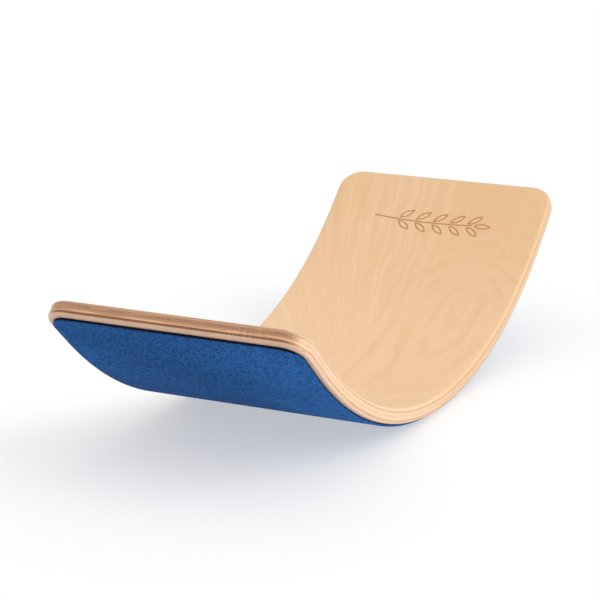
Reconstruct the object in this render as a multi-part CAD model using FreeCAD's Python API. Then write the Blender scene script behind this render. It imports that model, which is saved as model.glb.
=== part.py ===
"""Curved rocker balance board: seven moulded birch veneers with a felt sheet glued underneath.

Units are millimetres. +X runs along the board, +Y across it and +Z up. The origin is on the floor,
under the middle of the board, where the felt touches when the board lies level.

The board is bent to one radius along the middle and runs straight towards both ends. Every layer
follows the same curve, so each one is cut from the same rounded block, at its own depth below the
top face.
"""
import FreeCAD, Part
import math
import os

# Driving dimensions: the board
BOARD_LENGTH = 800.0        # straight-line length, tip to tip
BOARD_WIDTH = 300.0
BEND_RADIUS = 530.0         # at the middle of the board's thickness
END_SLOPE = 41.0            # degrees between the straight ends and the floor
CORNER_RADIUS = 30.0        # the four corners, seen square to the face
ARRIS_RADIUS = 4.5          # the rounded-over edges, top and bottom

# Driving dimensions: the layers
PLY_COUNT = 7
PLY_THICKNESS = 2.5
ADHESIVE_THICKNESS = 0.3
FELT_THICKNESS = 3.2
FELT_MARGIN = 7.5           # bare wood left around the felt
FELT_EDGE_RADIUS = 1.0

# Driving dimensions: the twig engraved across the top face, near one end
GROOVE_DEPTH = 0.4
GROOVE_WIDTH = 2.0
TWIG_CENTRE_FROM_END = 77.0  # along the surface
TWIG_LENGTH = 164.0          # across the board
TWIG_BOW_RADIUS = 700.0      # the stem is a shallow arc
LEAF_PAIRS = 5
LEAF_PITCH = 24.0
LEAF_LENGTH = 24.0
LEAF_WIDTH = 9.0
LEAF_ANGLE = 38.0            # degrees between a leaf and the stem
LEAF_STALK = 2.5             # gap between the stem and a leaf's near tip

# Derived sizes
BOARD_THICKNESS = PLY_COUNT * PLY_THICKNESS
HALF_THICKNESS = BOARD_THICKNESS / 2
UNDERLAY = ADHESIVE_THICKNESS + FELT_THICKNESS
SLOPE = math.radians(END_SLOPE)
CENTRE_HEIGHT = UNDERLAY + HALF_THICKNESS + BEND_RADIUS   # the bend's axis above the floor
CUT_MARGIN = 20.0           # how far cutting tools run past the block
NEAR = 0.01                 # points closer than this are the same point

# The rounded lower arris is the outermost point of each end, and sets the straight run's length.
TIP_X = BOARD_LENGTH / 2
BEND_X = BEND_RADIUS * math.sin(SLOPE)
ARRIS_X = ARRIS_RADIUS + (HALF_THICKNESS - ARRIS_RADIUS) * math.sin(SLOPE)
STRAIGHT_RUN = ARRIS_RADIUS + (TIP_X - ARRIS_X - BEND_X) / math.cos(SLOPE)
HALF_SURFACE = BEND_RADIUS * SLOPE + STRAIGHT_RUN         # centre to end, along the bend

STEM_START = -TWIG_LENGTH / 2
STEM_END = TWIG_LENGTH / 2 - LEAF_LENGTH - LEAF_STALK     # one leaf carries on past it
LAST_PAIR = STEM_END - LEAF_PITCH * 0.4

ACROSS = FreeCAD.Vector(0, 1, 0)


def surface_point(along, depth):
    """The point at a distance along the mid-surface from the centre, and a depth below the top."""
    radius = BEND_RADIUS - HALF_THICKNESS + depth
    angle = max(-SLOPE, min(SLOPE, along / BEND_RADIUS))
    past_bend = along - angle * BEND_RADIUS
    x = radius * math.sin(angle) + past_bend * math.cos(angle)
    z = CENTRE_HEIGHT - radius * math.cos(angle) + past_bend * math.sin(angle)
    return FreeCAD.Vector(x, 0, z)


def layer_section(half_surface, top_depth, bottom_depth):
    """The side view of a layer between two depths: two arcs with straight runs, closed at the ends."""
    bend = BEND_RADIUS * SLOPE
    edges = []
    for depth in (top_depth, bottom_depth):
        stations = (-half_surface, -bend, 0.0, bend, half_surface)
        tip_a, bend_a, middle, bend_b, tip_b = [surface_point(s, depth) for s in stations]
        edges.append(Part.makeLine(tip_a, bend_a))
        edges.append(Part.Arc(bend_a, middle, bend_b).toShape())
        edges.append(Part.makeLine(bend_b, tip_b))
    for end in (-half_surface, half_surface):
        edges.append(Part.makeLine(surface_point(end, top_depth), surface_point(end, bottom_depth)))
    return Part.Face(Part.Wire(Part.__sortEdges__(edges)))


def layer(half_surface, width, top_depth, bottom_depth):
    """A bent slab with square edges."""
    slab = layer_section(half_surface, top_depth, bottom_depth).extrude(ACROSS * width)
    slab.translate(ACROSS * (-width / 2))
    return slab


def corner_edges(slab, half_surface, width, top_depth, bottom_depth):
    """The four short edges where the ends meet the long sides."""
    middle_depth = (top_depth + bottom_depth) / 2
    wanted = []
    for end in (-half_surface, half_surface):
        for side in (-width / 2, width / 2):
            wanted.append(surface_point(end, middle_depth) + ACROSS * side)
    return [e for e in slab.Edges if any((e.CenterOfMass - p).Length < NEAR for p in wanted)]


def rounded_slab(half_surface, width, top_depth, bottom_depth, corner_radius):
    """A bent slab with its four corners rounded, seen square to the face."""
    slab = layer(half_surface, width, top_depth, bottom_depth)
    corners = corner_edges(slab, half_surface, width, top_depth, bottom_depth)
    return slab.makeFillet(corner_radius, corners)


def at_depth(point, depth):
    """True if a point lies at this depth below the top face, on the bend or on a straight end."""
    from_axis = math.hypot(point.x, CENTRE_HEIGHT - point.z)
    angle = math.atan2(abs(point.x), CENTRE_HEIGHT - point.z)
    radius = from_axis * math.cos(max(0.0, angle - SLOPE))
    return abs(radius - (BEND_RADIUS - HALF_THICKNESS + depth)) < NEAR


def outline_edges(slab, depth):
    """The edges around the face at this depth. The face is in three pieces, and an edge between
    two of them belongs to both."""
    pieces = [f for f in slab.Faces if all(at_depth(v.Point, depth) for v in f.Vertexes)]
    edges = [edge for piece in pieces for edge in piece.Edges]
    return [edge for edge in edges if sum(edge.isSame(other) for other in edges) == 1]


def board_block():
    """The whole board before it is divided into veneers, with rounded corners and arrises."""
    block = rounded_slab(HALF_SURFACE, BOARD_WIDTH, 0.0, BOARD_THICKNESS, CORNER_RADIUS)
    arrises = outline_edges(block, 0.0) + outline_edges(block, BOARD_THICKNESS)
    return block.makeFillet(ARRIS_RADIUS, arrises)


def ply(block, index):
    """One veneer: the part of the block between two depths."""
    top_depth = index * PLY_THICKNESS
    cutter = layer(HALF_SURFACE + CUT_MARGIN, BOARD_WIDTH + 2 * CUT_MARGIN,
                   top_depth, top_depth + PLY_THICKNESS)
    return block.common(cutter).Solids[0]


def twig_point(across, up):
    """A point of the twig's flat drawing: across the board from its middle, and towards the end."""
    return FreeCAD.Vector(across, up, 0)


def stem_height(across):
    """How far the bowed stem stands above the drawing's baseline."""
    return TWIG_BOW_RADIUS - math.sqrt(TWIG_BOW_RADIUS ** 2 - across ** 2)


def stem_outline():
    """The stem: a shallow arc, as wide as the groove, with square ends."""
    half_groove = GROOVE_WIDTH / 2
    stations = (STEM_START, (STEM_START + STEM_END) / 2, STEM_END)
    edges = []
    for offset in (-half_groove, half_groove):
        points = [twig_point(across, stem_height(across) + offset) for across in stations]
        edges.append(Part.Arc(*points).toShape())
    for end in (STEM_START, STEM_END):
        low = twig_point(end, stem_height(end) - half_groove)
        high = twig_point(end, stem_height(end) + half_groove)
        edges.append(Part.makeLine(low, high))
    return Part.Face(Part.Wire(Part.__sortEdges__(edges)))


def pointed_oval(length, width):
    """A leaf shape between two arcs, from its near tip at the origin along +X."""
    near_tip = FreeCAD.Vector(0, 0, 0)
    far_tip = FreeCAD.Vector(length, 0, 0)
    edges = []
    for side in (-width / 2, width / 2):
        edges.append(Part.Arc(near_tip, FreeCAD.Vector(length / 2, side, 0), far_tip).toShape())
    return Part.Face(Part.Wire(edges))


def leaf_outline(root, angle):
    """A leaf drawn as a line: a pointed oval with a smaller one taken out of it."""
    tip_groove = GROOVE_WIDTH * 1.6
    blade = pointed_oval(LEAF_LENGTH, LEAF_WIDTH)
    inside = pointed_oval(LEAF_LENGTH - 2 * tip_groove, LEAF_WIDTH - 2 * GROOVE_WIDTH)
    inside.translate(FreeCAD.Vector(tip_groove, 0, 0))
    leaf = blade.cut(inside)
    leaf.rotate(FreeCAD.Vector(0, 0, 0), FreeCAD.Vector(0, 0, 1), angle)
    leaf.translate(root)
    return leaf


def twig_outlines():
    """Every closed shape of the twig's flat drawing."""
    reach = GROOVE_WIDTH / 2 + LEAF_STALK
    shapes = [stem_outline()]
    for pair in range(LEAF_PAIRS):
        across = LAST_PAIR - pair * LEAF_PITCH
        for lean in (-LEAF_ANGLE, LEAF_ANGLE):
            outward = math.radians(lean)
            root_across = across + reach * math.cos(outward)
            root_up = stem_height(across) + reach * math.sin(outward)
            shapes.append(leaf_outline(twig_point(root_across, root_up), lean))
    shapes.append(leaf_outline(twig_point(STEM_END + LEAF_STALK, stem_height(STEM_END)), 0.0))
    return shapes


def twig_grooves():
    """The grooves: the drawing laid on the top face and sunk to an even depth."""
    along = HALF_SURFACE - TWIG_CENTRE_FROM_END
    lean = math.degrees(along / BEND_RADIUS)
    skin = layer(HALF_SURFACE, BOARD_WIDTH, -CUT_MARGIN, GROOVE_DEPTH)
    grooves = []
    for outline in twig_outlines():
        tool = outline.extrude(FreeCAD.Vector(0, 0, 2 * CUT_MARGIN))
        tool.translate(FreeCAD.Vector(0, 0, -CUT_MARGIN))
        tool.rotate(FreeCAD.Vector(0, 0, 0), FreeCAD.Vector(0, 0, 1), -90.0)
        tool.rotate(FreeCAD.Vector(0, 0, 0), FreeCAD.Vector(0, 1, 0), -lean)
        tool.translate(surface_point(along, 0.0))
        grooves.append(tool.common(skin))
    return grooves


def top_face_veneer(block):
    """The top veneer, with the twig engraved in it."""
    veneer = ply(block, 0)
    for groove in twig_grooves():
        veneer = veneer.cut(groove)
    return veneer.Solids[0]


def underlay_slab(top_depth, bottom_depth):
    """A sheet under the board, smaller than it by the felt margin all round."""
    half_surface = HALF_SURFACE - FELT_MARGIN
    width = BOARD_WIDTH - 2 * FELT_MARGIN
    return rounded_slab(half_surface, width, top_depth, bottom_depth, CORNER_RADIUS - FELT_MARGIN)


def felt_pad():
    """The felt, with its lower edge softened."""
    bottom_depth = BOARD_THICKNESS + UNDERLAY
    felt = underlay_slab(BOARD_THICKNESS + ADHESIVE_THICKNESS, bottom_depth)
    return felt.makeFillet(FELT_EDGE_RADIUS, outline_edges(felt, bottom_depth))


def build():
    block = board_block()
    nodes = {"top_face_veneer": top_face_veneer(block)}
    for index in range(1, PLY_COUNT - 1):
        nodes["core_ply_%d" % index] = ply(block, index)
    nodes["bottom_face_veneer"] = ply(block, PLY_COUNT - 1)
    nodes["felt_adhesive_film"] = underlay_slab(BOARD_THICKNESS, BOARD_THICKNESS + ADHESIVE_THICKNESS)
    nodes["felt_pad"] = felt_pad()
    return nodes


os.makedirs("parts", exist_ok=True)
for name, solid in build().items():
    box = solid.BoundBox
    print("%-20s solids %d valid %s volume %.0f mm3  x %.2f..%.2f  y %.2f..%.2f  z %.2f..%.2f" % (
        name, len(solid.Solids), solid.isValid(), solid.Volume,
        box.XMin, box.XMax, box.YMin, box.YMax, box.ZMin, box.ZMax))
    solid.exportStep("parts/%s.step" % name)
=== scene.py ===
"""The looks of the rocker balance board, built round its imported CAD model.

Every wooden layer and the felt are drawn flat first, as points given by how far they are along the
board, across it and below its top face, and then bent with place(). The same flat coordinates go
into each mesh as an attribute, and the wood and felt patterns are laid out in them.
"""
import math

import bmesh
import bpy
import numpy as np
from mathutils import Matrix, Vector
from mathutils.kdtree import KDTree


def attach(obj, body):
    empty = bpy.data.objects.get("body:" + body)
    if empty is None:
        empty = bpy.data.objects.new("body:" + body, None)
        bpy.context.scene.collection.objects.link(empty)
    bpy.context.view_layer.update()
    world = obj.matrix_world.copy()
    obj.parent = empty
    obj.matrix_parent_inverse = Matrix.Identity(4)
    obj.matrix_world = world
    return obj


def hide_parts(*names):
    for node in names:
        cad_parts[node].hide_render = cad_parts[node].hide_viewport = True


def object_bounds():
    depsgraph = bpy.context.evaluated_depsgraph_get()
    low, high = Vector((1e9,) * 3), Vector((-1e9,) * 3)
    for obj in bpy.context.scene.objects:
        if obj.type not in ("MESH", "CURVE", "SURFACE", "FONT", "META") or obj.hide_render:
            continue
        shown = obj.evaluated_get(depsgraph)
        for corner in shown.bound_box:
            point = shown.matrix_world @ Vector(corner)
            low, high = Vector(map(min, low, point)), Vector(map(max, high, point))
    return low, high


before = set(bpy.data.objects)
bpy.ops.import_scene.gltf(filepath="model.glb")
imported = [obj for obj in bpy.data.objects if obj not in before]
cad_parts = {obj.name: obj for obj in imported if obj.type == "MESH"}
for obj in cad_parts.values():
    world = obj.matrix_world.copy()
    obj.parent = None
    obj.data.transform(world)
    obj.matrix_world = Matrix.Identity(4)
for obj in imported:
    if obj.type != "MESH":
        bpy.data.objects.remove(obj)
cad_box = [list(corner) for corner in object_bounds()]

# Driving dimensions, in metres, as the CAD model has them
BEND_RADIUS = 0.530
END_SLOPE = math.radians(41.0)
CORNER_RADIUS = 0.030
ARRIS_RADIUS = 0.0045
PLY_COUNT = 7
PLY_THICKNESS = 0.0025
ADHESIVE_THICKNESS = 0.0003
FELT_THICKNESS = 0.0032
FELT_MARGIN = 0.0075
FELT_EDGE_RADIUS = 0.001

# The engraved twig, in metres
GROOVE_DEPTH = 0.0004
GROOVE_WIDTH = 0.002
TWIG_CENTRE_FROM_END = 0.077
TWIG_LENGTH = 0.164
TWIG_BOW_RADIUS = 0.700
LEAF_PAIRS = 5
LEAF_PITCH = 0.024
LEAF_LENGTH = 0.024
LEAF_WIDTH = 0.009
LEAF_ANGLE = math.radians(38.0)
LEAF_STALK = 0.0025
FIRST_LEAVES = 0.4          # leaf pitches from the stem's end to the first pair
LEAF_TIP_GAP = GROOVE_WIDTH * 0.8       # from a leaf's tip to the end of its grooves' middles
GROOVE_FLOOR = 0.45         # half widths from a groove's middle to where its floor ends
BURN_FULL = 0.6             # half widths to where the scorching starts to fade
BURN_END = 1.4              # half widths to where it ends

# Mesh fineness
CORNER_STEP = 3.0           # degrees between points round a corner
ARRIS_STEP = 5.0            # degrees between points over an arris
STATION_STEP = 0.005        # between points along a long side
FACE_COLUMNS = 25           # points across a face
ENGRAVED_STEP = 0.0004      # between points where the twig is cut
ENGRAVED_HALF_WIDTH = 0.090
ENGRAVED_HALF_HEIGHT = 0.022
STROKE_SPACING = GROOVE_WIDTH / 16      # between points along a groove's middle
FELT_EDGE_STEP = 15.0       # degrees between points over the felt's lower edge
SHARP_EDGE = 30             # degrees; edges that turn more are shaded sharp
SHARP_ENGRAVED_EDGE = 75    # the same on the top veneer, whose groove flanks are steep
DECIMALS = 7                # distances are rounded to this many before they are compared
ROUNDING_ERROR = 1e-9

# Derived sizes
THICKNESS = PLY_COUNT * PLY_THICKNESS
UNDERLAY = ADHESIVE_THICKNESS + FELT_THICKNESS
AXIS_HEIGHT = UNDERLAY + THICKNESS / 2 + BEND_RADIUS
TIP_X = cad_box[1][0]
HALF_WIDTH = cad_box[1][1]
BEND_X = BEND_RADIUS * math.sin(END_SLOPE)
ARRIS_X = ARRIS_RADIUS + (THICKNESS / 2 - ARRIS_RADIUS) * math.sin(END_SLOPE)
STRAIGHT_RUN = ARRIS_RADIUS + (TIP_X - ARRIS_X - BEND_X) / math.cos(END_SLOPE)
HALF_LENGTH = BEND_RADIUS * END_SLOPE + STRAIGHT_RUN
TWIG_ALONG = HALF_LENGTH - TWIG_CENTRE_FROM_END
GLUE_DEPTH = THICKNESS + ADHESIVE_THICKNESS


# ---------------------------------------------------------------- geometry

def place(flat):
    """Bends flat points, (along, across, depth) rows, into the board's shape."""
    along, across, depth = flat.T
    radius = BEND_RADIUS - THICKNESS / 2 + depth
    angle = np.clip(along / BEND_RADIUS, -END_SLOPE, END_SLOPE)
    past = along - angle * BEND_RADIUS
    x = radius * np.sin(angle) + past * np.cos(angle)
    z = AXIS_HEIGHT - radius * np.cos(angle) + past * np.sin(angle)
    return np.stack([x, across, z], axis=1)


class Outline:
    """A rectangle with round corners, seen square to the board's face."""

    def __init__(self, half_length, half_width, corner, extra_stations=()):
        self.half_length = half_length
        self.half_width = half_width
        self.corner = corner
        straight = half_length - corner
        turns = np.radians(np.arange(CORNER_STEP, 90.0 + CORNER_STEP / 2, CORNER_STEP))
        round_part = straight + corner * np.cos(turns)
        count = int(2 * straight / STATION_STEP) + 2
        long_part = np.linspace(-straight, straight, count)[1:-1]
        stations = np.concatenate([-round_part, long_part, round_part, extra_stations])
        self.stations = np.unique(stations.round(DECIMALS))

    def half_width_at(self, along):
        past = max(abs(along) - (self.half_length - self.corner), 0.0)
        return self.half_width - self.corner + math.sqrt(max(self.corner ** 2 - past ** 2, 0.0))

    def outward(self, along, across):
        """The outline's outward direction at a point on it."""
        beyond = np.array([
            math.copysign(max(abs(along) - (self.half_length - self.corner), 0.0), along),
            math.copysign(max(abs(across) - (self.half_width - self.corner), 0.0), across),
        ])
        return beyond / np.linalg.norm(beyond)


class Layer:
    """One layer's mesh while it is still flat: points, faces and what the materials read."""

    def __init__(self):
        self.flat = []
        self.edge = []
        self.faces = []

    def point(self, along, across, depth, edge=(0.0, 0.0, 0.0)):
        self.flat.append((along, across, depth))
        self.edge.append(edge)
        return len(self.flat) - 1

    def stitch(self, row, shares, next_row, next_shares):
        """Fills the strip between two rows across the board.

        One row may have more points, as long as it has all of the other's shares of the width too.
        """
        if len(row) > len(next_row):
            row, shares, next_row, next_shares = next_row, next_shares, row, shares
        marks = np.searchsorted(next_shares, np.asarray(shares) - ROUNDING_ERROR)
        for cell in range(len(row) - 1):
            far_side = next_row[marks[cell]:marks[cell + 1] + 1]
            self.faces.append([row[cell], row[cell + 1], *reversed(far_side)])

    def face_grid(self, outline, depth, columns_at):
        """The visible face, in rows across the board.

        Returns the loop of points round it, and how many of them are on each end's straight row.
        """
        tips = [-outline.half_length, outline.half_length]
        alongs = [tips[0], *outline.stations, tips[1]]
        rows = []
        for along in alongs:
            shares = columns_at(along)
            width = outline.half_width_at(along)
            rows.append(([self.point(along, share * width, depth) for share in shares], shares))
        for (row, shares), (next_row, next_shares) in zip(rows, rows[1:]):
            self.stitch(row, shares, next_row, next_shares)
        first, last = rows[0][0], rows[-1][0]
        plus_side = [row[-1] for row, _ in rows[1:-1]]
        minus_side = [row[0] for row, _ in rows[1:-1]]
        return [*first, *plus_side, *reversed(last), *reversed(minus_side)], len(first)

    def rim(self, outline, loop, profile):
        """Rings of points from the face's loop down the rim, and the last ring.

        profile has (inset, depth, slope) rows; slope is 0 facing up or down and 1 facing outwards.
        """
        start_inset = profile[0][0]
        ways = [outline.outward(*self.flat[i][:2]) for i in loop]
        for i, way in zip(loop, ways):
            slope = profile[0][2]
            self.edge[i] = (way[0] * slope, way[1] * slope, slope)
        ring = loop
        for inset, depth, slope in profile[1:]:
            next_ring = []
            for i, way in zip(loop, ways):
                along, across = np.array(self.flat[i][:2]) + way * (start_inset - inset)
                edge = (way[0] * slope, way[1] * slope, slope)
                next_ring.append(self.point(along, across, depth, edge))
            for k in range(len(ring)):
                after = (k + 1) % len(ring)
                self.faces.append([ring[k], ring[after], next_ring[after], next_ring[k]])
            ring = next_ring
        return ring

    def cap(self, ring, tip_count):
        """The face that another layer covers, in strips from side to side."""
        side_count = (len(ring) - 2 * tip_count) // 2
        first = ring[:tip_count]
        plus_side = ring[tip_count:tip_count + side_count]
        last = ring[tip_count + side_count:2 * tip_count + side_count]
        minus_side = ring[2 * tip_count + side_count:][::-1]
        self.faces.append([*first, plus_side[0], minus_side[0]])
        for k in range(side_count - 1):
            self.faces.append([minus_side[k], plus_side[k], plus_side[k + 1], minus_side[k + 1]])
        self.faces.append([minus_side[-1], plus_side[-1], *last])

    def to_object(self, name, sharp_angle, extra=None):
        """The bent mesh, with the flat coordinates and the edge directions as attributes."""
        flat = np.array(self.flat)
        mesh = bpy.data.meshes.new(name)
        mesh.from_pydata(place(flat).tolist(), [], self.faces)
        for key, rows in (("flat", flat), ("edge", np.array(self.edge))):
            attribute = mesh.attributes.new(key, "FLOAT_VECTOR", "POINT")
            attribute.data.foreach_set("vector", rows.astype(np.float32).ravel())
        for key, values in (extra or {}).items():
            attribute = mesh.attributes.new(key, "FLOAT", "POINT")
            attribute.data.foreach_set("value", np.asarray(values, np.float32))
        shape = bmesh.new()
        shape.from_mesh(mesh)
        bmesh.ops.recalc_face_normals(shape, faces=shape.faces)
        shape.to_mesh(mesh)
        shape.free()
        mesh.shade_smooth()
        mesh.set_sharp_from_angle(angle=math.radians(sharp_angle))
        made = bpy.data.objects.new(name, mesh)
        bpy.context.scene.collection.objects.link(made)
        return made


def plain_columns(_along):
    return np.linspace(-1.0, 1.0, FACE_COLUMNS)


def board_rim_point(depth):
    """(inset, depth, slope) of the board's rim: square in the middle, rounded at both arrises."""
    near_face = min(depth, THICKNESS - depth)
    if near_face >= ARRIS_RADIUS:
        return 0.0, depth, 1.0
    turn = math.acos(max(-1.0, min(1.0, 1.0 - near_face / ARRIS_RADIUS)))
    return ARRIS_RADIUS * (1.0 - math.sin(turn)), depth, math.sin(turn)


def board_rim_profile(top, bottom):
    """The rim's points between two depths, both included."""
    turns = np.radians(np.arange(0.0, 90.1, ARRIS_STEP))
    near_face = ARRIS_RADIUS * (1.0 - np.cos(turns))
    depths = np.concatenate([near_face, THICKNESS - near_face])
    tolerance = PLY_THICKNESS / 100
    inner = sorted(d for d in depths if top + tolerance < d < bottom - tolerance)
    return [board_rim_point(d) for d in (top, *inner, bottom)]


def inset_outline(inset, extra_stations=()):
    """The board's outline, drawn in by a distance on every side."""
    return Outline(HALF_LENGTH - inset, HALF_WIDTH - inset, CORNER_RADIUS - inset, extra_stations)


def veneer(name, index):
    """One ply. The bottom one is built from its underside up, because that is the side that shows."""
    profile = board_rim_profile(index * PLY_THICKNESS, (index + 1) * PLY_THICKNESS)
    if index == PLY_COUNT - 1:
        profile.reverse()
    outline = inset_outline(profile[0][0])
    layer = Layer()
    loop, tip_count = layer.face_grid(outline, profile[0][1], plain_columns)
    layer.cap(layer.rim(outline, loop, profile), tip_count)
    return layer.to_object(name, SHARP_EDGE)


def stem_height(across):
    """How far the twig's bowed stem rises from its middle."""
    return TWIG_BOW_RADIUS - np.sqrt(TWIG_BOW_RADIUS ** 2 - across ** 2)


def twig_strokes():
    """Points along the middle of every groove, in the twig's flat drawing."""
    stem_end = TWIG_LENGTH / 2 - LEAF_LENGTH - LEAF_STALK
    across = np.arange(-TWIG_LENGTH / 2, stem_end, STROKE_SPACING)
    strokes = [np.stack([across, stem_height(across)], axis=1)]
    half = LEAF_LENGTH / 2 - LEAF_TIP_GAP
    bulge = (LEAF_WIDTH - GROOVE_WIDTH) / 2
    arc_radius = (half ** 2 + bulge ** 2) / (2 * bulge)
    run = np.arange(-half, half, STROKE_SPACING)
    rise = np.sqrt(arc_radius ** 2 - run ** 2) - (arc_radius - bulge)
    roots = []
    for pair in range(LEAF_PAIRS):
        at = stem_end - LEAF_PITCH * (FIRST_LEAVES + pair)
        roots += [(at, -LEAF_ANGLE), (at, LEAF_ANGLE)]
    reach = GROOVE_WIDTH / 2 + LEAF_STALK
    leaves = [((at + reach * math.cos(turn), stem_height(at) + reach * math.sin(turn)), turn)
              for at, turn in roots]
    leaves.append(((stem_end + LEAF_STALK, stem_height(stem_end)), 0.0))
    for root, turn in leaves:
        direction = np.array([math.cos(turn), math.sin(turn)])
        sideways = np.array([-math.sin(turn), math.cos(turn)])
        for side in (-1, 1):
            forward = (run + half + LEAF_TIP_GAP)[:, None] * direction
            strokes.append(np.array(root) + forward + side * rise[:, None] * sideways)
    return np.concatenate(strokes)


def top_surface_length(along):
    """Distance along the top face from the board's middle, shorter than along mid-thickness."""
    angle = np.clip(along / BEND_RADIUS, -END_SLOPE, END_SLOPE)
    return angle * (BEND_RADIUS - THICKNESS / 2) + along - angle * BEND_RADIUS


def smooth_step(low, high, values):
    share = np.clip((values - low) / (high - low), 0.0, 1.0)
    return share * share * (3.0 - 2.0 * share)


def engraved_veneer(name):
    """The top ply, with the twig cut into its face."""
    low, high = TWIG_ALONG - ENGRAVED_HALF_HEIGHT, TWIG_ALONG + ENGRAVED_HALF_HEIGHT
    profile = board_rim_profile(0.0, PLY_THICKNESS)
    outline = inset_outline(profile[0][0], np.arange(low, high, ENGRAVED_STEP))
    limit = ENGRAVED_HALF_WIDTH / outline.half_width
    fine = np.arange(-limit, limit, ENGRAVED_STEP / outline.half_width)
    engraved_columns = np.unique(np.concatenate([plain_columns(0.0), fine]).round(DECIMALS))

    def columns(along):
        return engraved_columns if low <= along <= high else plain_columns(along).round(DECIMALS)

    layer = Layer()
    loop, tip_count = layer.face_grid(outline, 0.0, columns)
    layer.cap(layer.rim(outline, loop, profile), tip_count)

    strokes = twig_strokes()
    tree = KDTree(len(strokes))
    for i, (across, up) in enumerate(strokes):
        tree.insert((across, up, 0.0), i)
    tree.balance()
    flat = np.array(layer.flat)
    burn = np.zeros(len(flat))
    cut = np.zeros(len(flat))
    up = top_surface_length(flat[:, 0]) - top_surface_length(TWIG_ALONG)
    near = (np.abs(up) < ENGRAVED_HALF_HEIGHT) & (flat[:, 2] == 0.0)
    half_groove = GROOVE_WIDTH / 2
    for i in np.flatnonzero(near):
        distance = tree.find((-flat[i, 1], up[i], 0.0))[2]
        cut[i] = 1.0 - smooth_step(GROOVE_FLOOR * half_groove, half_groove, distance)
        burn[i] = 1.0 - smooth_step(BURN_FULL * half_groove, BURN_END * half_groove, distance)
    flat[:, 2] += cut * GROOVE_DEPTH
    layer.flat = flat.tolist()
    return layer.to_object(name, SHARP_ENGRAVED_EDGE, extra={"burn": burn})


def under_sheet_outline(inset=0.0):
    """The outline that the felt and its glue share, or one drawn in from it."""
    margin = FELT_MARGIN + inset
    return Outline(HALF_LENGTH - margin, HALF_WIDTH - margin, CORNER_RADIUS - margin)


def glue_film(name):
    """The thin layer of glue between the bottom veneer and the felt."""
    profile = [(0.0, GLUE_DEPTH, 1.0), (0.0, THICKNESS, 1.0)]
    outline = under_sheet_outline()
    layer = Layer()
    loop, tip_count = layer.face_grid(outline, profile[0][1], plain_columns)
    layer.cap(layer.rim(outline, loop, profile), tip_count)
    return layer.to_object(name, SHARP_EDGE)


def felt_sheet(name):
    """The felt, built from its soft-edged underside up."""
    bottom = THICKNESS + UNDERLAY
    profile = []
    for turn in np.radians(np.arange(0.0, 90.1, FELT_EDGE_STEP)):
        inset = FELT_EDGE_RADIUS * (1.0 - math.sin(turn))
        depth = bottom - FELT_EDGE_RADIUS * (1.0 - math.cos(turn))
        profile.append((inset, depth, math.sin(turn)))
    profile.append((0.0, GLUE_DEPTH, 1.0))
    outline = under_sheet_outline(profile[0][0])
    layer = Layer()
    loop, tip_count = layer.face_grid(outline, bottom, plain_columns)
    layer.cap(layer.rim(outline, loop, profile), tip_count)
    return layer.to_object(name, SHARP_EDGE)


# ---------------------------------------------------------------- materials

class Graph:
    """A material's nodes, written as calls that return sockets."""

    # The Mix node's colour sockets; its sockets for other types have the same names
    MIX_FIRST, MIX_SECOND, MIX_RESULT = 6, 7, 2

    def __init__(self, name):
        self.material = bpy.data.materials.new(name)
        self.material.use_nodes = True
        self.nodes = self.material.node_tree.nodes
        self.links = self.material.node_tree.links
        self.nodes.clear()

    def add(self, kind, inputs=None, **settings):
        made = self.nodes.new(kind)
        for key, value in settings.items():
            setattr(made, key, value)
        for key, value in (inputs or {}).items():
            self.feed(made.inputs[key], value)
        return made

    def feed(self, socket, value):
        if isinstance(value, bpy.types.NodeSocket):
            self.links.new(value, socket)
        elif socket.type == "VECTOR":
            socket.default_value = value[:3]
        else:
            socket.default_value = value

    def attribute(self, name):
        return self.add("ShaderNodeAttribute", attribute_name=name, attribute_type="GEOMETRY")

    def maths(self, operation, *values):
        inputs = dict(enumerate(values))
        return self.add("ShaderNodeMath", inputs, operation=operation).outputs[0]

    def stretch(self, vector, factors, shift=(0.0, 0.0, 0.0)):
        """A vector multiplied and shifted, axis by axis.

        For flat coordinates on their way to a noise, the factors are how many of its cells fit in a
        metre along, across and through the board, and the shift picks a part of it not used yet.
        """
        inputs = {0: vector, 1: factors, 2: shift}
        return self.add("ShaderNodeVectorMath", inputs, operation="MULTIPLY_ADD").outputs[0]

    def noise(self, vector, detail=2.0, roughness=0.5, distortion=0.0):
        inputs = {"Vector": vector, "Scale": 1.0, "Detail": detail, "Roughness": roughness,
                  "Distortion": distortion}
        return self.add("ShaderNodeTexNoise", inputs).outputs[0]

    def ramp(self, value, low, high, to_low=0.0, to_high=1.0):
        """A smooth step between two values."""
        inputs = {"Value": value, "From Min": low, "From Max": high, "To Min": to_low, "To Max": to_high}
        return self.add("ShaderNodeMapRange", inputs, interpolation_type="SMOOTHSTEP").outputs[0]

    def split(self, vector):
        return self.add("ShaderNodeSeparateXYZ", {0: vector}).outputs

    def mix(self, share, first, second, blend="MIX"):
        inputs = {"Factor": share, self.MIX_FIRST: first, self.MIX_SECOND: second}
        made = self.add("ShaderNodeMix", inputs, data_type="RGBA", blend_type=blend)
        return made.outputs[self.MIX_RESULT]

    def scale(self, colour, factor):
        made = self.add("ShaderNodeVectorMath", {0: colour}, operation="SCALE")
        self.feed(made.inputs["Scale"], factor)
        return made.outputs[0]

    def finish(self, **inputs):
        """Ends the graph in a Principled BSDF with these inputs, bump included."""
        height = inputs.pop("height", None)
        if height is not None:
            bump = self.add("ShaderNodeBump", {"Height": height,
                                               "Strength": inputs.pop("bump_strength"),
                                               "Distance": inputs.pop("bump_distance")})
            inputs["Normal"] = bump.outputs[0]
        shader = self.add("ShaderNodeBsdfPrincipled")
        for key, value in inputs.items():
            self.feed(shader.inputs[key], value)
        self.add("ShaderNodeOutputMaterial", {"Surface": shader.outputs[0]})
        return self.material


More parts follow.
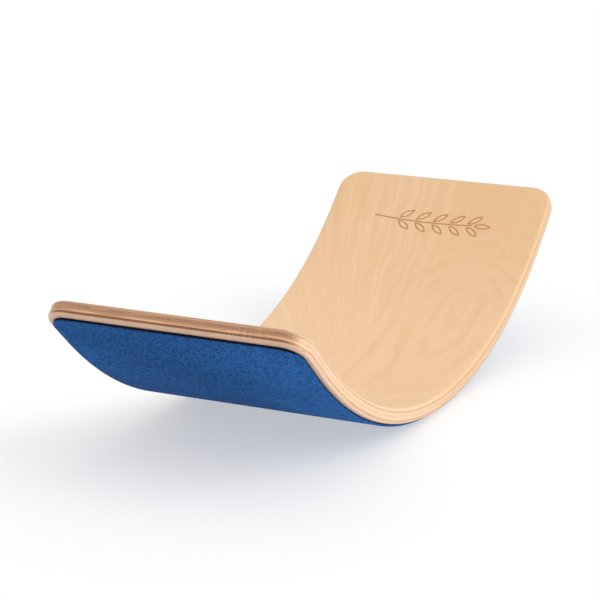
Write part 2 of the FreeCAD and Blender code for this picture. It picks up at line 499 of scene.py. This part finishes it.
def linear(red, green, blue):
    """An sRGB colour, 0 to 255 a channel, as Blender's linear colour."""
    def one(value):
        share = value / 255
        return share / 12.92 if share <= 0.04045 else ((share + 0.055) / 1.055) ** 2.4
    return one(red), one(green), one(blue), 1.0


# The face veneers' colours, and those of their rims on the long sides and at the ends
FACE_BASE = linear(226, 189, 151)
FACE_WARM = linear(221, 180, 134)
FACE_PALE = linear(231, 199, 165)
FACE_RING = linear(216, 177, 131)
TOP_RIM = linear(232, 197, 162), linear(164, 126, 100)
BOTTOM_RIM = linear(232, 197, 170), linear(206, 166, 138)
SCORCHED, LIGHTLY_SCORCHED = linear(158, 104, 60), linear(190, 138, 90)

# Factors on red, green and blue
NO_TINT = (1.0, 1.0, 1.0, 1.0)
# Painted shade: the underside veneer's face is painted darker and cooler, as wood lit only by the floor
# below looks
UNDERSIDE_SHADE_TINT = (0.80, 0.79, 1.0, 1.0)
CORE_FAR_TINT = (0.89, 0.91, 0.87, 1.0)
FACE_FAR_TINT = (0.95, 0.85, 0.72, 1.0)

# Each core veneer: whether its grain runs along the board, and the colour of its edge on the long
# sides and at the ends
CORE_PLIES = [
    (False, linear(214, 176, 140), linear(178, 137, 107)),
    (True, linear(232, 196, 163), linear(171, 127, 97)),
    (False, linear(226, 189, 154), linear(174, 129, 97)),
    (True, linear(232, 196, 163), linear(203, 158, 126)),
    (False, linear(216, 172, 138), linear(134, 92, 64)),
]

FELT_DARK, FELT_MID, FELT_FIBRE = linear(16, 56, 105), linear(42, 100, 168), linear(66, 126, 194)
FELT_SHEEN = linear(110, 160, 225)
# The felt's dark navy cut edge, painted darker still as shade where the wood overhangs it
FELT_CUT_SIDE_SHADED, FELT_CUT_END_SHADED = linear(24, 36, 66), linear(14, 18, 32)
DARK_GLUE = linear(34, 34, 40)

WOOD_GLOSS = 0.2            # specular level
WOOD_RELIEF = 0.0002        # height of the bump, in metres
FELT_RELIEF = 0.0005

# Each ply's place in the noises, so that no two look the same
TOP_SEED = 1.3
BOTTOM_SEED = 6.1
CORE_SEED_STEP = 3.7


def wobble(g, amount, value):
    """A noise value turned into a factor about 1."""
    return g.maths("MULTIPLY_ADD", g.maths("SUBTRACT", value, 0.5), amount, 1.0)


def product(g, first, *others):
    """Values multiplied together."""
    for other in others:
        first = g.maths("MULTIPLY", first, other)
    return first


def ply_pattern(g, flat, long_grain, seed):
    """Streaks and fibres that follow a ply's grain, along or across the board."""
    along, across = (7.0, 30.0) if long_grain else (30.0, 7.0)
    cells = g.stretch(flat, (along, across, 480.0), (seed, seed, 0.0))
    streaks = g.noise(cells, detail=4.0, roughness=0.68)
    along, across = (70.0, 1500.0) if long_grain else (1500.0, 70.0)
    cells = g.stretch(flat, (along, across, 2200.0), (0.0, seed, seed))
    fibres = g.noise(cells, detail=2.0, roughness=0.6)
    return streaks, fibres


def open_pores(g, flat, seed):
    """Where the vessels of a ply that is cut across its grain show as dark flecks, in patches."""
    pores = g.noise(g.stretch(flat, (480.0, 480.0, 800.0), (seed, 1.0, 2.0)), roughness=0.7)
    patches = g.noise(g.stretch(flat, (26.0, 26.0, 240.0), (4.0, seed, 0.0)))
    return g.maths("MULTIPLY", g.ramp(pores, 0.52, 0.64), g.ramp(patches, 0.40, 0.56))


def saw_marks(g, flat):
    """Fine marks straight across the plies, near the corners of one long side."""
    marks = g.noise(g.stretch(flat, (0.0, 620.0, 30.0), (0.0, 2.0, 0.0)), detail=1.0)
    across = g.split(flat)[1]
    sawn = g.maths("MULTIPLY", g.ramp(across, -0.040, -0.075), g.ramp(across, -0.130, -0.090))
    return g.maths("MULTIPLY", g.ramp(marks, 0.50, 0.62), sawn)


def ply_edge(g, edge, flat, side, end, long_grain, seed):
    """A ply's rim: one colour on the long sides, another where the board's ends are cut.

    The change from one to the other, round a corner, is ragged. Returns the colour and its pattern.
    """
    pore_darkness, mark_paleness, fibre_contrast = 0.40, 0.24, 0.25
    streak_contrast_side, more_at_end = 0.08, 0.38
    streaks, fibres = ply_pattern(g, flat, long_grain, seed)
    ragged = g.maths("MULTIPLY", g.maths("SUBTRACT", streaks, 0.5), 0.5)
    facing_end = g.ramp(g.maths("ADD", g.maths("ABSOLUTE", g.split(edge)[0]), ragged), 0.62, 0.98)
    cut_across = facing_end if long_grain else g.maths("SUBTRACT", 1.0, facing_end)
    darker = product(g, open_pores(g, flat, seed), cut_across, pore_darkness)
    paler = product(g, saw_marks(g, flat), facing_end, mark_paleness)
    contrast = g.maths("MULTIPLY_ADD", facing_end, more_at_end, streak_contrast_side)
    uneven = g.maths("MULTIPLY_ADD", g.ramp(streaks, 0.36, 0.64, -0.5, 0.5), contrast, 1.0)
    factor = product(g, uneven, wobble(g, fibre_contrast, fibres),
                     g.maths("SUBTRACT", 1.0, darker), g.maths("ADD", 1.0, paler))
    return g.scale(g.mix(facing_end, side, end), factor), streaks, fibres


def far_half_tone(g, edge, flat, colour, tint):
    """The long sides take on another tone towards the engraved end."""
    on_long_side = g.ramp(g.maths("ABSOLUTE", g.split(edge)[1]), 0.1, 0.6)
    share = g.maths("MULTIPLY", g.ramp(g.split(flat)[0], -0.12, 0.08), on_long_side)
    return g.mix(share, colour, tint, "MULTIPLY")


def joint_shade(g, flat, darkness):
    """A thin dark glue line at a ply's two faces."""
    share = g.maths("FRACT", g.maths("DIVIDE", g.split(flat)[2], PLY_THICKNESS))
    from_joint = g.maths("MINIMUM", share, g.maths("SUBTRACT", 1.0, share))
    return g.ramp(from_joint, 0.01, 0.09, 1.0 - darkness, 1.0)


def core_material(name, index, long_grain, side, end):
    """A core veneer, of which only the rim is seen."""
    g = Graph(name)
    flat = g.attribute("flat").outputs["Vector"]
    edge = g.attribute("edge").outputs["Vector"]
    seed = CORE_SEED_STEP * index
    colour, streaks, fibres = ply_edge(g, edge, flat, side, end, long_grain, seed)
    colour = far_half_tone(g, edge, flat, colour, CORE_FAR_TINT)
    colour = g.scale(colour, joint_shade(g, flat, darkness=0.22))
    roughness = g.maths("MULTIPLY_ADD", fibres, 0.2, 0.42)
    height = g.maths("MULTIPLY_ADD", streaks, 0.5, fibres)
    return g.finish(**{"Base Color": colour, "Roughness": roughness, "height": height,
                       "bump_strength": 0.2, "bump_distance": WOOD_RELIEF,
                       "Specular IOR Level": WOOD_GLOSS})


def oval_distance(g, along, across, centre, half_axes, tail):
    """How many half-axes away from an oval's middle, with a longer reach on the tail's side."""
    half_along, half_across = half_axes
    off_along = g.maths("SUBTRACT", along, centre[0])
    ahead = g.maths("DIVIDE", g.maths("MAXIMUM", off_along, 0.0), half_along)
    behind = g.maths("DIVIDE", g.maths("MINIMUM", off_along, 0.0), half_along * tail)
    lengthwise = g.maths("ADD", ahead, behind)
    sideways = g.maths("DIVIDE", g.maths("SUBTRACT", across, centre[1]), half_across)
    squared = g.maths("MULTIPLY_ADD", sideways, sideways, g.maths("MULTIPLY", lengthwise, lengthwise))
    return g.maths("SQRT", squared)


def growth_rings(g, along, across, flat, seed):
    """Rings of a flat-cut veneer round two ovals, one on each half of the board."""
    rings_per_half_axis, tail = 1.25, 4.5
    drift = g.noise(g.stretch(flat, (5.0, 14.0, 0.0), (seed, 0.0, 1.0)), roughness=0.55)
    ripple = g.noise(g.stretch(flat, (24.0, 70.0, 0.0), (0.0, seed, 5.0)))
    gaps = g.noise(g.stretch(flat, (11.0, 30.0, 0.0), (seed, 2.0, 8.0)))
    first = oval_distance(g, along, across, (0.226, -0.088), (0.034, 0.030), tail)
    second = oval_distance(g, along, across, (-0.205, 0.060), (-0.040, 0.022), tail)
    distance = g.maths("MINIMUM", first, second)
    phase = g.maths("MULTIPLY", distance, rings_per_half_axis)
    phase = g.maths("MULTIPLY_ADD", drift, 2.6, phase)
    phase = g.maths("MULTIPLY_ADD", ripple, 0.5, phase)
    share = g.maths("FRACT", phase)
    slow_rise, quick_fall = g.ramp(share, 0.2, 0.8), g.ramp(share, 1.0, 0.82)
    fading_outwards = g.ramp(distance, 6.6, 2.2)
    return product(g, slow_rise, quick_fall, fading_outwards, g.ramp(gaps, 0.34, 0.62, 0.25, 1.0))


def fanned(g, along, across, flat):
    """Flat coordinates whose lines, followed along the board, lean outwards on one side."""
    middle, sway_width = -0.02, 0.010
    spread = g.ramp(along, 0.02, 0.44, 0.0, 2.3)
    leaning_side = g.ramp(across, -0.07, 0.03, 0.35, 1.0)
    divisor = g.maths("MULTIPLY_ADD", spread, leaning_side, 1.0)
    narrowed = g.maths("DIVIDE", g.maths("SUBTRACT", across, middle), divisor)
    sway = g.noise(g.stretch(flat, (9.0, 12.0, 0.0), (2.0, 6.0, 0.0)))
    swayed = g.maths("MULTIPLY_ADD", g.maths("SUBTRACT", sway, 0.5), sway_width, narrowed)
    return g.add("ShaderNodeCombineXYZ", {0: along, 1: swayed}).outputs[0]


def face_colour(g, flat, seed):
    """Birch seen flat: faint rings, long pale streaks on one side, warm clouds and fine fibres.

    Returns the colour, the rings and the fibres.
    """
    hairline_contrast, fibre_contrast, cloud_contrast = 0.05, 0.045, 0.03
    along, across, _ = g.split(flat)
    rings = growth_rings(g, along, across, flat, seed)
    lines = fanned(g, along, across, flat)
    cells = g.stretch(lines, (3.4, 300.0, 0.0), (0.0, seed, 3.0))
    streaks = g.noise(cells, detail=4.0, roughness=0.62)
    hairlines = g.noise(g.stretch(lines, (9.0, 520.0, 0.0), (seed, 0.0, 6.0)), roughness=0.6)
    cells = g.stretch(flat, (110.0, 2300.0, 0.0), (seed, 0.0, 7.0))
    fibres = g.noise(cells, detail=3.0, roughness=0.65)
    clouds = g.noise(g.stretch(flat, (6.0, 13.0, 0.0), (0.0, seed, 9.0)))

    streaked_side = g.ramp(across, -0.07, 0.04)
    streak_depth = g.maths("MULTIPLY_ADD", streaked_side, 0.40, 0.16)
    pale_share = g.maths("MULTIPLY", g.ramp(streaks, 0.44, 0.66), streak_depth)
    towards_end = g.ramp(g.maths("ABSOLUTE", along), 0.10, 0.43, 0.0, 0.55)
    warm_share = g.maths("MULTIPLY_ADD", g.ramp(clouds, 0.45, 0.75), 0.3, towards_end)
    colour = g.mix(warm_share, FACE_BASE, FACE_WARM)
    colour = g.mix(pale_share, colour, FACE_PALE)
    colour = g.mix(g.maths("MULTIPLY", rings, 0.5), colour, FACE_RING)
    factor = product(g, wobble(g, hairline_contrast, hairlines), wobble(g, fibre_contrast, fibres),
                     wobble(g, cloud_contrast, clouds))
    return g.scale(colour, factor), rings, fibres


def face_material(name, seed, tint, rim_colours, engraved):
    """A face veneer: flat-cut birch on its face, ply edge on its rim, scorched where engraved."""
    end_arris_darkness, scorch_share = 0.3, 0.85
    g = Graph(name)
    flat = g.attribute("flat").outputs["Vector"]
    edge = g.attribute("edge").outputs["Vector"]
    face, rings, fibres = face_colour(g, flat, seed)
    # On the underside this tint is painted shade, darker and cooler
    face = g.mix(1.0, face, tint, "MULTIPLY")

    rim, _, _ = ply_edge(g, edge, flat, *rim_colours, long_grain=True, seed=seed)
    slope = g.split(edge)[2]
    at_end = g.ramp(g.maths("ABSOLUTE", g.split(edge)[0]), 0.2, 0.5)
    end_arris = g.maths("MULTIPLY", g.ramp(slope, 0.98, 0.6), at_end)
    rim = g.scale(rim, g.maths("MULTIPLY_ADD", end_arris, -end_arris_darkness, 1.0))
    rim = far_half_tone(g, edge, flat, rim, FACE_FAR_TINT)
    colour = g.mix(g.ramp(slope, 0.02, 0.5), face, rim)

    roughness = g.maths("MULTIPLY_ADD", fibres, 0.16, 0.50)
    if engraved:
        burn = g.attribute("burn").outputs["Fac"]
        scorched = g.mix(fibres, SCORCHED, LIGHTLY_SCORCHED)
        colour = g.mix(g.maths("MULTIPLY", burn, scorch_share), colour, scorched)
        roughness = g.maths("MULTIPLY_ADD", burn, 0.35, roughness)
    height = g.maths("MULTIPLY_ADD", rings, 0.2, fibres)
    return g.finish(**{"Base Color": colour, "Roughness": roughness, "height": height,
                       "bump_strength": 0.12, "bump_distance": WOOD_RELIEF,
                       "Specular IOR Level": WOOD_GLOSS})


def curled_fibres(g, flat):
    """Thin curved lines in three directions, where a distorted noise crosses its middle."""
    curls = []
    for number, spin in enumerate((1.0, -1.0, 0.4)):
        cells = g.stretch(flat, (420.0, 420.0 * spin, 300.0), (5.0 * number, 2.0 * number, 0.0))
        strand = g.noise(cells, detail=1.0, distortion=1.4)
        from_middle = g.maths("ABSOLUTE", g.maths("SUBTRACT", strand, 0.5))
        curls.append(g.ramp(from_middle, 0.028, 0.004))
    return g.maths("MAXIMUM", g.maths("MAXIMUM", curls[0], curls[1]), curls[2])


def felt_material(name):
    """Pressed felt: mottled, with pale curled fibres, painted light towards one long side, and a dark
    cut edge next to the wood that is partly painted shade.
    """
    cloud_contrast, sunward_light_contrast, cut_contrast, fibre_share = 0.7, 0.22, 0.6, 0.22
    g = Graph(name)
    flat = g.attribute("flat").outputs["Vector"]
    edge = g.attribute("edge").outputs["Vector"]
    cells = g.stretch(flat, (350.0, 350.0, 350.0))
    blotches = g.noise(cells, detail=4.0, roughness=0.75)
    cells = g.stretch(flat, (1100.0, 1100.0, 1100.0), (3.0, 1.0, 0.0))
    grains = g.noise(cells, detail=3.0, roughness=0.7, distortion=0.6)
    cells = g.stretch(flat, (11.0, 11.0, 11.0), (9.0, 4.0, 0.0))
    clouds = g.noise(cells, detail=3.0, roughness=0.55)
    fibres = curled_fibres(g, flat)

    mottle = g.maths("MULTIPLY_ADD", blotches, 0.6, g.maths("MULTIPLY", grains, 0.4))
    body = g.mix(g.ramp(mottle, 0.43, 0.57), FELT_DARK, FELT_MID)
    body = g.mix(g.maths("MULTIPLY", fibres, fibre_share), body, FELT_FIBRE)
    body = g.scale(body, wobble(g, cloud_contrast, clouds))
    # Painted light: the felt is painted paler towards the long side the sun comes from
    sunward_painted_light = g.ramp(g.split(flat)[1], 0.02, -0.11)
    body = g.scale(body, g.maths("MULTIPLY_ADD", sunward_painted_light, sunward_light_contrast, 0.88))

    # Partly painted shade: below the wood's overhanging margin the cut edge is painted dark from the
    # glue down, further down at the ends, over a dark navy cut edge of its own
    facing_end = g.ramp(g.maths("ABSOLUTE", g.split(edge)[0]), 0.45, 0.85)
    down = g.maths("SUBTRACT", g.split(flat)[2], GLUE_DEPTH)
    shade_depth = g.maths("MULTIPLY_ADD", facing_end, 0.6 * FELT_THICKNESS, 0.4 * FELT_THICKNESS)
    dark = g.ramp(g.maths("DIVIDE", down, shade_depth), 1.2, 0.5)
    on_rim = g.ramp(g.split(edge)[2], 0.1, 0.5)
    cut_edge_and_shade = g.mix(facing_end, FELT_CUT_SIDE_SHADED, FELT_CUT_END_SHADED)
    cut_edge_and_shade = g.scale(cut_edge_and_shade, wobble(g, cut_contrast, grains))
    colour = g.mix(g.maths("MULTIPLY", dark, on_rim), body, cut_edge_and_shade)

    height = g.maths("ADD", g.maths("MULTIPLY", fibres, 0.5), g.maths("ADD", blotches, grains))
    return g.finish(**{"Base Color": colour, "Roughness": 0.95, "height": height,
                       "bump_strength": 0.5, "bump_distance": FELT_RELIEF,
                       "Specular IOR Level": 0.06, "Sheen Weight": 0.06,
                       "Sheen Roughness": 0.5, "Sheen Tint": FELT_SHEEN})


def film_material(name):
    g = Graph(name)
    flat = g.attribute("flat").outputs["Vector"]
    uneven = g.noise(g.stretch(flat, (400.0, 400.0, 400.0)))
    colour = g.scale(DARK_GLUE, wobble(g, 0.5, uneven))
    roughness = g.maths("MULTIPLY_ADD", uneven, 0.3, 0.35)
    return g.finish(**{"Base Color": colour, "Roughness": roughness})


# ---------------------------------------------------------------- the pieces

def dress(piece, material, node):
    """A finished piece: given its material and put under the root body, with the CAD node it stands for
    hidden.
    """
    piece.data.materials.append(material)
    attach(piece, "root")
    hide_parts(node)
    return piece


dress(engraved_veneer("top_veneer"),
      face_material("figured_birch_top", TOP_SEED, NO_TINT, TOP_RIM, engraved=True),
      "top_face_veneer")
for number, (long_grain, side, end) in enumerate(CORE_PLIES, start=1):
    dress(veneer("core_veneer_%d" % number, number),
          core_material("birch_core_%d" % number, number, long_grain, side, end),
          "core_ply_%d" % number)
dress(veneer("bottom_veneer", PLY_COUNT - 1),
      face_material("figured_birch_bottom", BOTTOM_SEED, UNDERSIDE_SHADE_TINT, BOTTOM_RIM, engraved=False),
      "bottom_face_veneer")
dress(glue_film("glue_film"), film_material("dark_glue"), "felt_adhesive_film")
felt = dress(felt_sheet("felt_sheet"), felt_material("blue_felt"), "felt_pad")


# ---------------------------------------------------------------- the studio

FLOOR_SIZE = 60.0
FLOOR_DROP = 0.0002         # under the felt, so that the two don't share a plane
FLOOR_GREY = (0.46, 0.46, 0.46, 1.0)
FLOOR_GLOW = 0.48           # its own light, which keeps the shadow pale
WORLD_STRENGTH = 0.93
SUN_ELEVATION = math.radians(34.0)
SUN_AZIMUTH = math.radians(-87.0)
SUN_SPREAD = math.radians(50.0)
SUN_STRENGTH = 1.35
CAMERA_AZIMUTH = math.radians(24.60)
CAMERA_ELEVATION = math.radians(14.69)
CAMERA_ROLL = math.radians(0.54)
CAMERA_TARGET = Vector((0.0, 0.0382, 0.1086))
CAMERA_DISTANCE = 2.365
CAMERA_LENS = 119.34        # millimetres, on a sensor 36 wide
CAMERA_SENSOR = 36.0
CAMERA_FAR_LIMIT = 100.0
WHITE = (1.0, 1.0, 1.0, 1.0)


def studio_floor():
    bpy.ops.mesh.primitive_plane_add(size=FLOOR_SIZE, location=(0.0, 0.0, -FLOOR_DROP))
    floor = bpy.context.object
    floor.name = "studio_floor"
    g = Graph("studio_white")
    floor.data.materials.append(g.finish(**{"Base Color": FLOOR_GREY, "Roughness": 0.9,
                                            "Specular IOR Level": 0.0, "Emission Color": WHITE,
                                            "Emission Strength": FLOOR_GLOW}))


def studio_world():
    """Even white light from all round."""
    world = bpy.data.worlds.new("studio")
    world.use_nodes = True
    background = world.node_tree.nodes["Background"]
    background.inputs["Color"].default_value = WHITE
    background.inputs["Strength"].default_value = WORLD_STRENGTH
    bpy.context.scene.world = world


def direction(azimuth, elevation):
    """A unit vector, from angles round the board from +X and up from the floor."""
    return Vector((math.cos(azimuth) * math.cos(elevation),
                   math.sin(azimuth) * math.cos(elevation), math.sin(elevation)))


def soft_sun():
    """One large soft light, so far off that the floor is lit evenly."""
    data = bpy.data.lights.new("key", "SUN")
    data.angle = SUN_SPREAD
    data.energy = SUN_STRENGTH
    lamp = bpy.data.objects.new("key", data)
    lamp.rotation_mode = "QUATERNION"
    lamp.rotation_quaternion = direction(SUN_AZIMUTH, SUN_ELEVATION).to_track_quat("Z", "Y")
    bpy.context.scene.collection.objects.link(lamp)


def photo_camera():
    """A long lens, low and to the right of the board's near end, a little off level."""
    back = direction(CAMERA_AZIMUTH + math.pi, CAMERA_ELEVATION)
    right = (-back).cross(Vector((0.0, 0.0, 1.0))).normalized()
    up = right.cross(-back)
    tilted_right = right * math.cos(CAMERA_ROLL) + up * math.sin(CAMERA_ROLL)
    tilted_up = up * math.cos(CAMERA_ROLL) - right * math.sin(CAMERA_ROLL)
    data = bpy.data.cameras.new("photo_camera")
    data.sensor_width = CAMERA_SENSOR
    data.lens = CAMERA_LENS
    data.clip_end = CAMERA_FAR_LIMIT
    camera = bpy.data.objects.new("photo_camera", data)
    axes = Matrix((tilted_right, tilted_up, back)).transposed()
    place_at = Matrix.Translation(CAMERA_TARGET + back * CAMERA_DISTANCE)
    camera.matrix_world = place_at @ axes.to_4x4()
    bpy.context.scene.collection.objects.link(camera)
    bpy.context.scene.camera = camera


studio_floor()
studio_world()
soft_sun()
photo_camera()
bpy.context.scene.view_settings.view_transform = "Standard"
